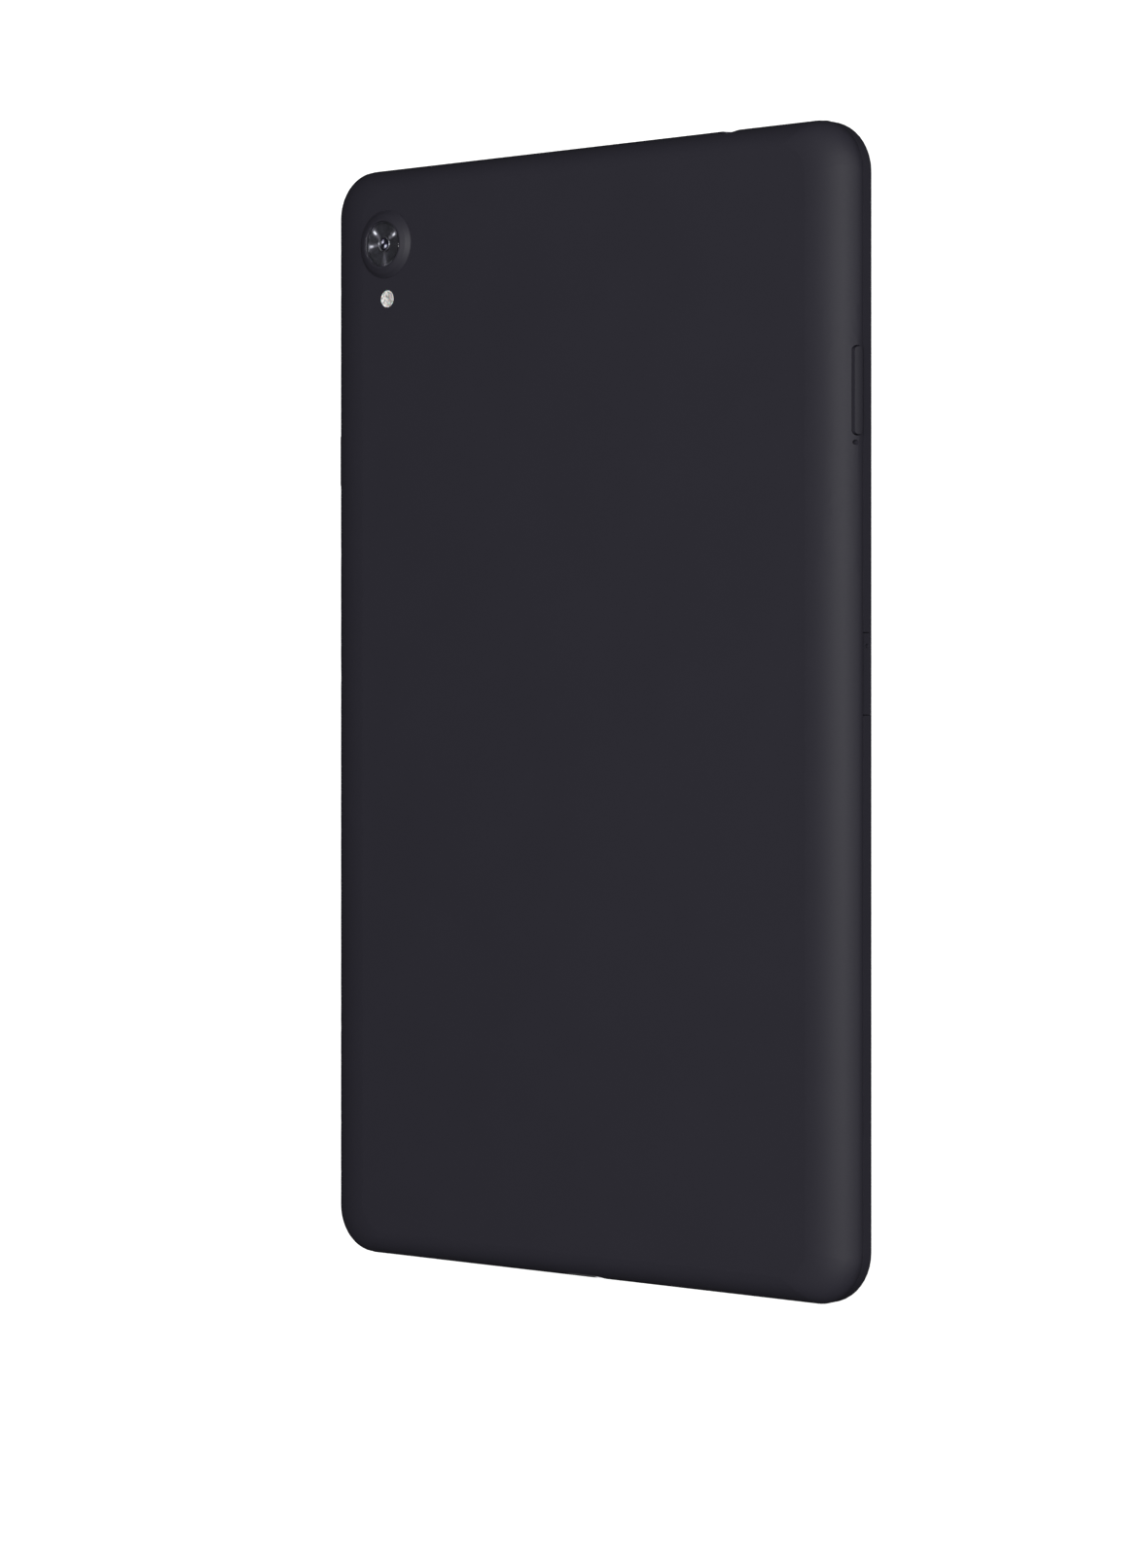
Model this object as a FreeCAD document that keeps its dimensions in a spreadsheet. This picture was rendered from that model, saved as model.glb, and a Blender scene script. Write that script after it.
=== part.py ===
import FreeCAD, Part
import math
import operator
import os
import Sketcher

# A tablet computer, upright in portrait. X runs to the right seen from the back, Z runs up from the
# bottom edge and Y runs from the back to the screen. Depths count from the flat back, towards the screen.
# Heights count from the bottom edge. All sizes are in millimetres.

PARTS_FOLDER = "parts"
CURVE_STEPS = 6

DIMENSIONS = {
    # the whole body
    "body_width": 122.0,
    "body_height": 204.5,
    "body_depth": 8.3,
    "body_corner": 9.3,
    "back_corner": 5.2,
    "side_curve": 9.0,
    "end_curve": 4.6,
    # the two halves of the casing
    "cover_edge": 4.68,
    "cover_wall": 1.2,
    "cover_skin": 1.1,
    "frame_edge": 4.82,
    "frame_front": 8.05,
    "frame_round": 1.4,
    "frame_opening_width": 114.6,
    "frame_opening_height": 195.4,
    "frame_opening_corner": 5.0,
    "tongue_gap": 0.2,
    "tongue_height": 0.3,
    "back_hole_far": 3.0,
    "front_hole_near": 4.0,
    # the front glass and its seat
    "glass_width": 119.0,
    "glass_height": 201.5,
    "glass_corner": 7.8,
    "glass_back": 7.6,
    "glass_edge_round": 0.4,
    "seat_gap": 0.2,
    "seat_depth": 7.5,
    "adhesive_inset": 0.4,
    "backlight_wall": 0.6,
    "backlight_floor": 0.12,
    # the rear camera
    "camera_x": -46.0,
    "camera_z": 189.95,
    "ring_radius": 6.4,
    "ring_top_radius": 4.7,
    "ring_bore": 4.05,
    "ring_seat": 4.3,
    "ring_height": 1.15,
    "ring_foot": 5.7,
    "ring_foot_depth": 0.9,
    "window_radius": 4.24,
    "window_near": -1.02,
    "window_far": -0.52,
    "window_bevel": 0.12,
    "hood_lip": 0.15,
    "hood_rim": 0.25,
    "hood_bore": 1.5,
    "hood_far": -0.2,
    "barrel_radius": 3.4,
    "barrel_near": -0.15,
    "lens_radius": 1.4,
    "lens_near": -0.3,
    "lens_far": 0.2,
    "lens_edge": 0.15,
    # the front camera's barrel
    "front_barrel_radius": 2.2,
    "front_barrel_far": 7.5,
    # the flash
    "flash_x": -45.7,
    "flash_z": 179.7,
    "flash_radius": 1.6,
    "flash_window_far": 0.95,
    # the keys on the two sides
    "volume_z": 157.35,
    "volume_length": 15.1,
    "power_z": 150.0,
    "power_length": 9.6,
    "volume_near": 2.85,
    "volume_proud": 0.35,
    "power_near": 2.9,
    "power_proud": 0.12,
    "key_far": 4.2,
    "key_inner": 57.8,
    "key_gap": 0.21,
    "key_slot_spare": 1.5,
    "key_flat": 0.1,
    "post_inner": 56.85,
    "post_radius": 0.55,
    "post_offset": 5.0,
    "dome_radius": 0.8,
    "dome_inner": 56.25,
    "dome_outer": 56.5,
    "switch_inner": 56.1,
    "bracket_inner": 55.5,
    "switch_near": 2.3,
    "switch_far": 4.4,
    "bracket_near": 2.3,
    "bracket_far": 4.45,
    "switch_spare": 0.9,
    # the card tray in the right side of the frame
    "tray_z": 108.8,
    "tray_door_length": 14.0,
    "tray_door_inner": 59.3,
    "tray_door_outer": 60.87,
    "tray_near": 4.93,
    "tray_door_far": 6.85,
    "tray_far": 5.6,
    "tray_end": 43.6,
    "tray_width": 12.4,
    "tray_rail": 1.2,
    "tray_gap": 0.15,
    "tray_hole_radius": 0.4,
    "tray_hole_length": 4.0,
    "tray_hole_inset": 2.2,
    "tray_hole_rise": 0.2,
    "tray_bars": 3.0,
    "tray_opening_shift": 0.6,
    "tray_slot_length": 6.0,
    # the sockets in the ends
    "port_depth": 3.95,
    "usb_width": 8.94,
    "usb_thickness": 3.26,
    "usb_wall": 0.3,
    "usb_gap": 0.13,
    "usb_mouth": 0.35,
    "usb_length": 7.5,
    "usb_floor": 0.8,
    "tongue_plate_width": 6.69,
    "tongue_plate_thickness": 0.7,
    "tongue_plate_length": 4.6,
    "jack_x": 33.0,
    "jack_bore": 1.8,
    "jack_width": 8.0,
    "jack_half_depth": 2.1,
    "jack_front": 199.9,
    "jack_back": 188.6,
    "jack_floor": 189.9,
    "jack_opening": 2.1,
    "jack_nose": 2.05,
    "jack_mouth": 203.6,
    "contact_width": 1.0,
    "contact_height": 1.2,
    "contact_thickness": 0.3,
    # small holes through the casing
    "pinhole_radius": 0.45,
    "side_pinhole_z": 148.45,
    "pinhole_depth": 3.2,
    "bottom_pinhole_x": -12.0,
    "speaker_hole_radius": 0.55,
    "speaker_hole_pitch": 2.5,
    "speaker_hole_first": 32.0,
    "speaker_hole_depth": 3.1,
    "side_hole_length": 5.0,
    "end_hole_length": 4.0,
    "mesh_width": 20.0,
    "mesh_thickness": 0.2,
    "mesh_gap": 0.12,
    "mesh_near": 2.2,
    "mesh_far": 4.0,
    # flexible circuits
    "flex_thickness": 0.12,
    "display_flex_low": 6.2,
    "display_flex_top": 11.9,
    "display_flex_behind": 5.61,
    "display_flex_front": 7.2,
    "display_flex_tail": 8.0,
    "display_flex_width": 30.0,
    "link_low_board": 3.58,
    "link_main_board": 3.1,
    "link_over_cell": 1.3,
    "link_start": 17.0,
    "link_rise": 30.0,
    "link_fall": 163.3,
    "link_end": 169.0,
    "link_side": 4.0,
    "link_width": 8.0,
    "cable_radius": 0.4,
    "cable_x": -53.9,
    "cable_bottom": 30.0,
    "cable_top": 165.5,
    "cable_depth": 3.2,
    # fasteners
    "screw_head_radius": 1.2,
    "screw_radius": 0.7,
    "screw_head_near": 3.0,
    "board_near": 3.6,
    "board_far": 4.4,
    "screw_end": 5.7,
    "standoff_radius": 1.5,
    "standoff_bore": 0.74,
    "plate_near": 5.75,
    "board_hole_radius": 0.78,
    "shield_wall": 0.2,
    # the outlines of the two boards, and the battery's rounded edges
    "board_side": 55.2,
    "board_top": 199.5,
    "board_foot": 66.0,
    "board_camera_side": -38.5,
    "board_camera_foot": 183.5,
    "board_band_foot": 164.5,
    "board_strip_left": 42.0,
    "usb_board_side": 20.0,
    "usb_board_foot": 4.8,
    "usb_board_top": 24.0,
    "usb_board_near": 3.7,
    "usb_board_far": 4.5,
    "board_clearance": 0.25,
    "cell_round": 1.5,
    # how far a cut starts outside what it cuts, joined pads overlap, and a fitted hole is larger
    "cut_clear": 1.0,
    "join": 0.1,
    "fit_gap": 0.05,
}

# Flat pieces: the centre across and up, the width, the height, and the depths of the two faces.
PLATE_KEYS = ("x", "z", "width", "height", "near", "far")
PLATES = {
    "touch_film": (0, 101, 113, 180, 7.45, 7.6),
    "lcd_cell": (0, 101, 111.5, 178, 6.85, 7.45),
    "backlight_film": (0, 101, 110.4, 175.8, 6.67, 6.85),
    "light_guide": (0, 102, 110.4, 173.6, 6.25, 6.65),
    "backlight_tray": (0, 101, 111.9, 177.6, 6.1, 6.85),
    "display_driver_chip": (0, 8.6, 16, 1.6, 6.7, 7.08),
    "mid_plate": (0, 99, 114.6, 178, 5.75, 6.05),
    "battery_cell": (-4.75, 104, 88.5, 108, 1.55, 5.3),
    "battery_board": (-4.75, 160.4, 60, 4.4, 2.6, 4.6),
    "battery_lead": (-5, 167, 8, 8.6, 3.1, 3.22),
    "processor_chip": (-8, 186, 12, 12, 2.7, 3.6),
    "memory_chip": (6.5, 186, 11, 11.5, 2.8, 3.6),
    "storage_chip": (-23.5, 186, 11.5, 13, 2.7, 3.6),
    "power_chip": (-8, 176, 6, 5, 2.9, 3.6),
    "radio_chip": (22, 186, 6, 6, 2.9, 3.6),
    "processor_shield": (-8.5, 185, 48, 25, 2.0, 3.6),
    "radio_shield": (22, 185, 10, 25, 2.0, 3.6),
    "thermal_pad": (-8, 186, 12, 12, 2.2, 2.7),
    "heat_spreader": (-1, 181, 66, 33, 1.12, 1.22),
    "rear_camera": (-45.6, 189.85, 9.4, 9.4, 1.6, 5.6),
    "flash_led": (-45.7, 179.55, 3, 3, 1.15, 3.6),
    "front_camera": (12, 195, 6.5, 6.5, 4.6, 6.6),
    "left_speaker": (-38, 15.5, 30, 21.6, 1.7, 5.6),
    "right_speaker": (38, 15.5, 30, 21.6, 1.7, 5.6),
    "bottom_microphone": (-12, 7.2, 3.6, 2.8, 2.7, 3.7),
    "side_microphone": (52.9, 148.45, 3.4, 2.8, 2.6, 3.6),
    "card_socket": (49.6, 108.8, 13.4, 15.4, 4.4, 4.88),
    "upper_antenna": (-10, 200.9, 40, 1.8, 2.8, 4.45),
    "lower_antenna": (-55.8, 50, 2.6, 40, 3.0, 4.4),
}

BOARD_SCREWS = ((-46.0, 168.0), (20.0, 168.0), (48.0, 182.0), (48.0, 72.0))
BOARD_CONNECTORS = ((-5.0, 169.0, 8.0, 3.0), (8.0, 167.6, 9.0, 2.6), (48.5, 128.0, 4.0, 12.0))
CONNECTOR_NEAR = 3.22
SPEAKER_SIDES = (-1, 1)
CONTACT_HEIGHTS = (191.5, 195.0, 198.0)
# The ring's slope: the share of its height reached just inside its foot, half-way and at its shoulder.
RING_RISES = (0.12, 0.66, 0.97)
# The end arcs of a slot stop this short of a half circle.
ARC_SPARE = 0.01
SAME_PLACE = 1e-6
SPEAKER_HOLE_COUNT = 6
LED_COUNT = 10
LED_PITCH = 10.6
LED_SIZE = (3.0, 1.4)
LED_HEIGHT = 14.0
STRIP_OFFSETS = (-26.0, 16.0)
STRIP_SIZE = (20.0, 90.0)

OPERATIONS = {"+": operator.add, "-": operator.sub, "*": operator.mul, "/": operator.truediv}

doc = FreeCAD.newDocument("tablet_computer")
sheet = doc.addObject("Spreadsheet::Sheet", "Dimensions")


class Size:
    """A number together with the sheet expression that gives it."""

    def __init__(self, number, text=None):
        self.number = float(number)
        self.text = text or f"({self.number})"

    def joined(self, sign, first, second):
        number = OPERATIONS[sign](first.number, second.number)
        return Size(number, f"({first.text} {sign} {second.text})")

    def __add__(self, other):
        return self.joined("+", self, as_size(other))

    def __radd__(self, other):
        return self.joined("+", as_size(other), self)

    def __sub__(self, other):
        return self.joined("-", self, as_size(other))

    def __rsub__(self, other):
        return self.joined("-", as_size(other), self)

    def __mul__(self, other):
        return self.joined("*", self, as_size(other))

    def __rmul__(self, other):
        return self.joined("*", as_size(other), self)

    def __truediv__(self, other):
        return self.joined("/", self, as_size(other))

    def __neg__(self):
        return as_size(0) - self


def as_size(value):
    """The value as a Size, whether it is one already or a plain number."""
    return value if isinstance(value, Size) else Size(value)


def fill_sheet():
    """Writes every driving dimension to the sheet and returns each as a Size, by its alias."""
    rows = dict(DIMENSIONS)
    for label, values in PLATES.items():
        for key, value in zip(PLATE_KEYS, values):
            rows[f"{label}_{key}"] = value
    sizes = {}
    for row, (alias, value) in enumerate(rows.items(), start=1):
        sheet.set(f"A{row}", alias)
        sheet.set(f"B{row}", str(value))
        sheet.setAlias(f"B{row}", alias)
        sizes[alias] = Size(value, f"Dimensions.{alias}")
    doc.recompute()
    return sizes


D = fill_sheet()
HALF_WIDTH = D["body_width"] / 2
HALF_HEIGHT = D["body_height"] / 2
OUTSIDE = HALF_WIDTH + D["cut_clear"]
# The casing and the camera ring together are centred on Y = 0.
BACK_Y = (D["ring_height"] - D["body_depth"]) / 2


def at_depth(depth):
    """The Y of a depth below the flat back."""
    return BACK_Y + depth


# ---- shared ways of making a piece -------------------------------------------------------------


def new_body(label):
    """An empty body with its own label, which may hold several separate solids."""
    body = doc.addObject("PartDesign::Body", label)
    body.Label = label
    body.AllowCompound = True
    return body


def new_sketch(body, role, offset, origin=(0, 0)):
    """A sketch on one of the body's origin planes, moved along its normal and within the plane."""
    sketch = body.newObject("Sketcher::SketchObject", f"{body.Label}_sketch")
    plane = next(feature for feature in body.Origin.OriginFeatures if feature.Role == role)
    sketch.AttachmentSupport = [(plane, "")]
    sketch.MapMode = "FlatFace"
    for axis, value in zip("xyz", (*origin, offset)):
        sketch.setExpression(f"AttachmentOffset.Base.{axis}", as_size(value).text)
    return sketch


def facing_back(body, depth):
    """A sketch across the tablet at a depth, with X across and Z up."""
    return new_sketch(body, "XZ_Plane", -at_depth(depth))


def facing_side(body, across):
    """A sketch in a plane of constant X, with Y across and Z up."""
    return new_sketch(body, "YZ_Plane", across)


def facing_end(body, height, origin=(0, 0)):
    """A sketch in a plane of constant Z, with X and Y in it."""
    return new_sketch(body, "XY_Plane", height, origin)


def pin_point(sketch, geometry, end, point):
    """Ties one end of a piece of geometry to sheet expressions for its two coordinates."""
    for kind, value in zip(("DistanceX", "DistanceY"), point):
        value = as_size(value)
        index = sketch.addConstraint(Sketcher.Constraint(kind, -1, 1, geometry, end, value.number))
        sketch.setExpression(f"Constraints[{index}]", value.text)


def vector(point):
    """A sketch point as a vector."""
    return FreeCAD.Vector(as_size(point[0]).number, as_size(point[1]).number, 0)


def add_line(sketch, start, end):
    """A line with both ends tied to the sheet."""
    line = sketch.addGeometry(Part.LineSegment(vector(start), vector(end)))
    pin_point(sketch, line, 1, start)
    pin_point(sketch, line, 2, end)
    return line


def add_polygon(sketch, points):
    """A closed outline of straight lines, each corner tied to the sheet."""
    first = None
    previous = None
    for start, end in zip(points, points[1:] + points[:1]):
        line = sketch.addGeometry(Part.LineSegment(vector(start), vector(end)))
        pin_point(sketch, line, 1, start)
        if previous is not None:
            sketch.addConstraint(Sketcher.Constraint("Coincident", previous, 2, line, 1))
        first = line if first is None else first
        previous = line
    sketch.addConstraint(Sketcher.Constraint("Coincident", previous, 2, first, 1))


def add_box(sketch, centre, size):
    """A rectangle given by its centre and its size."""
    across, up = as_size(size[0]) / 2, as_size(size[1]) / 2
    x, y = as_size(centre[0]), as_size(centre[1])
    corners = [(x - across, y - up), (x + across, y - up), (x + across, y + up), (x - across, y + up)]
    add_polygon(sketch, corners)


def add_circle(sketch, centre, radius):
    """A circle with its centre and radius tied to the sheet."""
    radius = as_size(radius)
    circle = Part.Circle(vector(centre), FreeCAD.Vector(0, 0, 1), radius.number)
    index = sketch.addGeometry(circle)
    pin_point(sketch, index, 3, centre)
    constraint = sketch.addConstraint(Sketcher.Constraint("Radius", index, radius.number))
    sketch.setExpression(f"Constraints[{constraint}]", radius.text)


def add_round_box(sketch, centre, size, corner):
    """A rectangle with round corners: four lines joined by four arcs of one radius."""
    corner = as_size(corner)
    across, up = as_size(size[0]) / 2, as_size(size[1]) / 2
    x, y = as_size(centre[0]), as_size(centre[1])
    left, right, low, high = x - across, x + across, y - up, y + up
    lines = [
        add_line(sketch, (left + corner, low), (right - corner, low)),
        add_line(sketch, (right, low + corner), (right, high - corner)),
        add_line(sketch, (right - corner, high), (left + corner, high)),
        add_line(sketch, (left, high - corner), (left, low + corner)),
    ]
    middles = [
        (right - corner, low + corner),
        (right - corner, high - corner),
        (left + corner, high - corner),
        (left + corner, low + corner),
    ]
    for turn, middle in enumerate(middles):
        start = (turn - 1) * math.pi / 2
        circle = Part.Circle(vector(middle), FreeCAD.Vector(0, 0, 1), corner.number)
        arc = sketch.addGeometry(Part.ArcOfCircle(circle, start, start + math.pi / 2))
        sketch.addConstraint(Sketcher.Constraint("Coincident", lines[turn], 2, arc, 1))
        sketch.addConstraint(Sketcher.Constraint("Coincident", lines[(turn + 1) % 4], 1, arc, 2))
        constraint = sketch.addConstraint(Sketcher.Constraint("Radius", arc, corner.number))
        sketch.setExpression(f"Constraints[{constraint}]", corner.text)


def pad(body, sketch, length, reverse=False):
    """Extrudes a sketch along its normal, or against it."""
    feature = body.newObject("PartDesign::Pad", f"{body.Label}_pad")
    feature.Profile = sketch
    feature.setExpression("Length", as_size(length).text)
    feature.Reversed = reverse
    body.Tip = feature
    doc.recompute()
    return feature


def pocket(body, sketch, length, reverse=False):
    """Cuts a sketch against its normal, or along it, and stops if nothing was cut."""
    before = body.Shape.Volume
    feature = body.newObject("PartDesign::Pocket", f"{body.Label}_pocket")
    feature.Profile = sketch
    feature.setExpression("Length", as_size(length).text)
    feature.Reversed = reverse
    body.Tip = feature
    doc.recompute()
    if body.Shape.Volume >= before:
        raise RuntimeError(f"{feature.Name} cut nothing")
    return feature


def round_edges(body, radius, wanted):
    """Fillets the edges of the body that the wanted function picks."""
    base = body.Tip
    names = [f"Edge{i}" for i, edge in enumerate(base.Shape.Edges, start=1) if wanted(edge)]
    feature = body.newObject("PartDesign::Fillet", f"{body.Label}_fillet")
    feature.Base = (base, names)
    feature.setExpression("Radius", as_size(radius).text)
    body.Tip = feature
    doc.recompute()
    return feature


def slab(body, near, far):
    """A sketch at the near depth, ready to be padded to the far one, and that pad's length."""
    return facing_back(body, near), as_size(far) - as_size(near)


def flat_piece(label, near, far, draw):
    """A piece of one thickness, whose outline the draw function puts in the sketch."""
    body = new_body(label)
    sketch, length = slab(body, near, far)
    draw(sketch)
    pad(body, sketch, length, reverse=True)
    return body


def cut_from_depth(body, near, far, draw):
    """Cuts an outline from the near depth to the far one."""
    sketch, length = slab(body, near, far)
    draw(sketch)
    pocket(body, sketch, length)


def plate(label):
    """A rectangular piece whose six sizes are in the sheet under its own name."""
    x, z, width, height, near, far = (D[f"{label}_{key}"] for key in PLATE_KEYS)
    return flat_piece(label, near, far, lambda sketch: add_box(sketch, (x, z), (width, height)))


def turned(label, centre, profile):
    """A piece turned about an axis along Y: the profile is a list of radius and depth."""
    body = new_body(label)
    sketch = facing_end(body, centre[1], (centre[0], 0))
    add_polygon(sketch, [(as_size(radius), at_depth(depth)) for radius, depth in profile])
    feature = body.newObject("PartDesign::Revolution", f"{label}_revolution")
    feature.Profile = sketch
    feature.ReferenceAxis = (sketch, ["V_Axis"])
    feature.Angle = 360
    body.Tip = feature
    doc.recompute()
    return body


def runs_along(edge, axis):
    """True if a straight edge lies along the named axis."""
    span = edge.Vertexes[-1].Point - edge.Vertexes[0].Point
    return span.Length > 0 and abs(abs(getattr(span, axis)) - span.Length) < SAME_PLACE


# ---- the casing --------------------------------------------------------------------------------


def add_curved_sections(body, kind, edge, floor, wall):
    """Lofts the casing's rounded back from its edge to its flat: a quarter of an ellipse all round."""
    sections = []
    for step in range(CURVE_STEPS + 1):
        angle = Size(90 * step / CURVE_STEPS)
        across = Size(1 - math.cos(math.radians(angle.number)), f"(1 - cos({angle.number} deg))")
        rise = Size(math.sin(math.radians(angle.number)), f"sin({angle.number} deg)")
        share = step / CURVE_STEPS
        depth = edge - (edge - floor) * rise
        width = D["body_width"] - 2 * (wall + (D["side_curve"] - wall) * across)
        height = D["body_height"] - 2 * (wall + (D["end_curve"] - wall) * across)
        corner = D["body_corner"] - wall - (D["body_corner"] - D["back_corner"]) * share
        sketch = facing_back(body, depth)
        add_round_box(sketch, (0, HALF_HEIGHT), (width, height), corner)
        sections.append(sketch)
    loft = body.newObject(f"PartDesign::{kind}", f"{body.Label}_loft")
    loft.Profile = sections[0]
    loft.Sections = sections[1:]
    loft.Ruled = False
    body.Tip = loft
    doc.recompute()


def cut_ports(body):
    """The openings that cross the join between the two halves: the round and the flat socket."""
    sketch = facing_end(body, D["body_height"] + D["cut_clear"])
    add_circle(sketch, (D["jack_x"], at_depth(D["port_depth"])), D["jack_opening"])
    pocket(body, sketch, D["body_height"] - D["jack_front"] + D["cut_clear"])
    sketch = facing_end(body, -D["cut_clear"])
    opening = (D["usb_width"] + 2 * D["usb_gap"], D["usb_thickness"] + 2 * D["usb_gap"])
    add_round_box(sketch, (0, at_depth(D["port_depth"])), opening, opening[1] / 2 - ARC_SPARE)
    pocket(body, sketch, D["usb_length"] + D["cut_clear"], reverse=True)


def key_corner(near):
    """The corner radius of a key whose nearer edge is at a depth: its ends are all but round."""
    return (D["key_far"] - near - D["key_flat"]) / 2


def cut_key_slot(body, side, height, length, near):
    """A round-ended slot for a key, through one side wall."""
    wide = D["key_far"] - near + 2 * D["key_gap"]
    middle = at_depth((near + D["key_far"]) / 2)
    sketch = facing_side(body, side * OUTSIDE)
    size = (wide, length + 2 * D["key_gap"])
    add_round_box(sketch, (middle, height), size, key_corner(near) + D["key_gap"])
    pocket(body, sketch, OUTSIDE - D["key_inner"] + D["key_slot_spare"], reverse=side < 0)


def cut_small_holes(body):
    """The pinholes of the two microphones and the rows of speaker holes."""
    sketch = facing_side(body, OUTSIDE)
    add_circle(sketch, (at_depth(D["pinhole_depth"]), D["side_pinhole_z"]), D["pinhole_radius"])
    pocket(body, sketch, D["side_hole_length"])
    sketch = facing_end(body, -D["cut_clear"])
    add_circle(sketch, (D["bottom_pinhole_x"], at_depth(D["pinhole_depth"])), D["pinhole_radius"])
    for side in SPEAKER_SIDES:
        for index in range(SPEAKER_HOLE_COUNT):
            across = side * (D["speaker_hole_first"] + index * D["speaker_hole_pitch"])
            centre = (across, at_depth(D["speaker_hole_depth"]))
            add_circle(sketch, centre, D["speaker_hole_radius"])
    pocket(body, sketch, D["end_hole_length"], reverse=True)


def rear_cover():
    """The moulded back: one shell with curved sides, and its openings."""
    body = new_body("rear_cover")
    add_curved_sections(body, "AdditiveLoft", D["cover_edge"], as_size(0), as_size(0))
    add_curved_sections(body, "SubtractiveLoft", D["cover_edge"], D["cover_skin"], D["cover_wall"])
    camera = (D["camera_x"], D["camera_z"])
    flash = (D["flash_x"], D["flash_z"])

    def back_holes(sketch):
        add_circle(sketch, camera, D["ring_foot"] + D["fit_gap"])
        add_circle(sketch, flash, D["flash_radius"] + D["fit_gap"])

    cut_from_depth(body, -D["cut_clear"], D["back_hole_far"], back_holes)
    cut_ports(body)
    cut_key_slot(body, 1, D["volume_z"], D["volume_length"], D["volume_near"])
    cut_key_slot(body, -1, D["power_z"], D["power_length"], D["power_near"])
    cut_small_holes(body)


def front_frame():
    """The front rim: a seat for the glass, a tongue that enters the cover, and the tray's slot."""
    middle = (0, HALF_HEIGHT)
    outline = (D["body_width"], D["body_height"])
    body = flat_piece(
        "front_frame",
        D["frame_edge"],
        D["frame_front"],
        lambda sketch: add_round_box(sketch, middle, outline, D["body_corner"]),
    )
    front = at_depth(D["frame_front"]).number
    round_edges(body, D["frame_round"], lambda edge: abs(edge.BoundBox.YMin - front) < SAME_PLACE)

    inset = 2 * (D["cover_wall"] + D["tongue_gap"])
    tongue = (D["body_width"] - inset, D["body_height"] - inset)
    corner = D["body_corner"] - inset / 2
    sketch, length = slab(body, D["frame_edge"] - D["tongue_height"], D["frame_edge"] + D["join"])
    add_round_box(sketch, middle, tongue, corner)
    pad(body, sketch, length, reverse=True)

    opening = (D["frame_opening_width"], D["frame_opening_height"])
    cut_from_depth(
        body,
        D["front_hole_near"],
        D["body_depth"] + D["cut_clear"],
        lambda sketch: add_round_box(sketch, middle, opening, D["frame_opening_corner"]),
    )
    seat = (D["glass_width"] + 2 * D["seat_gap"], D["glass_height"] + 2 * D["seat_gap"])
    cut_from_depth(
        body,
        D["seat_depth"],
        D["body_depth"] + D["cut_clear"],
        lambda sketch: add_round_box(sketch, middle, seat, D["glass_corner"] + D["seat_gap"]),
    )
    cut_ports(body)
    sketch = facing_side(body, OUTSIDE)
    low = D["front_hole_near"]
    high = D["tray_door_far"] + D["tray_gap"]
    size = (high - low, D["tray_door_length"] + 2 * D["tray_gap"])
    add_box(sketch, (at_depth((low + high) / 2), D["tray_z"]), size)
    pocket(body, sketch, D["tray_slot_length"])


# ---- the display -------------------------------------------------------------------------------


def cover_glass():
    """The front glass, with its outer edge rounded over."""
    outline = (D["glass_width"], D["glass_height"])
    body = flat_piece(
        "cover_glass",
        D["glass_back"],
        D["body_depth"],
        lambda sketch: add_round_box(sketch, (0, HALF_HEIGHT), outline, D["glass_corner"]),
    )
    front = at_depth(D["body_depth"]).number
    round_edges(body, D["glass_edge_round"], lambda edge: abs(edge.BoundBox.YMin - front) < SAME_PLACE)


def glass_adhesive():
    """The thin ring of adhesive between the glass and its seat."""
    middle = (0, HALF_HEIGHT)
    inset = D["adhesive_inset"]
    outer = (D["glass_width"] - 2 * inset, D["glass_height"] - 2 * inset)
    inner = (D["frame_opening_width"] + inset, D["frame_opening_height"] + inset)

    def ring(sketch):
        add_round_box(sketch, middle, outer, D["glass_corner"] - inset)
        add_round_box(sketch, middle, inner, D["frame_opening_corner"])

    flat_piece("glass_adhesive", D["seat_depth"], D["glass_back"], ring)


def backlight():
    """The thin steel tray and the row of light sources along its lower end."""
    plate("backlight_film")
    plate("light_guide")
    tray = plate("backlight_tray")
    walls = 2 * D["backlight_wall"]
    inside = (D["backlight_tray_width"] - walls, D["backlight_tray_height"] - walls)
    centre = (D["backlight_tray_x"], D["backlight_tray_z"])
    floor = D["backlight_tray_near"] + D["backlight_floor"]
    cut_from_depth(tray, floor, D["body_depth"], lambda sketch: add_box(sketch, centre, inside))

    def leds(sketch):
        for index in range(LED_COUNT):
            across = (index - (LED_COUNT - 1) / 2) * LED_PITCH
            add_box(sketch, (across, LED_HEIGHT), LED_SIZE)

    flat_piece("backlight_leds", D["light_guide_near"], D["light_guide_far"], leds)


def display_flex():
    """The flexible circuit that folds round the lower end of the plate behind the display."""
    body = new_body("display_flex")
    skin = D["flex_thickness"]
    low, top = D["display_flex_low"], D["display_flex_top"]
    behind, front = D["display_flex_behind"], D["display_flex_front"]
    end = top + D["display_flex_tail"]
    outline = [
        (front, top),
        (front, low),
        (behind, low),
        (behind, end),
        (behind + skin, end),
        (behind + skin, low + skin),
        (front - skin, low + skin),
        (front - skin, top),
    ]
    sketch = facing_side(body, -D["display_flex_width"] / 2)
    add_polygon(sketch, [(at_depth(depth), height) for depth, height in outline])
    pad(body, sketch, D["display_flex_width"])


def display():
    """Everything between the front glass and the plate that stiffens the body."""
    cover_glass()
    glass_adhesive()
    plate("touch_film")
    plate("lcd_cell")
    backlight()
    plate("display_driver_chip")
    display_flex()
    plate("mid_plate")


# ---- the battery and the boards ----------------------------------------------------------------


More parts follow.
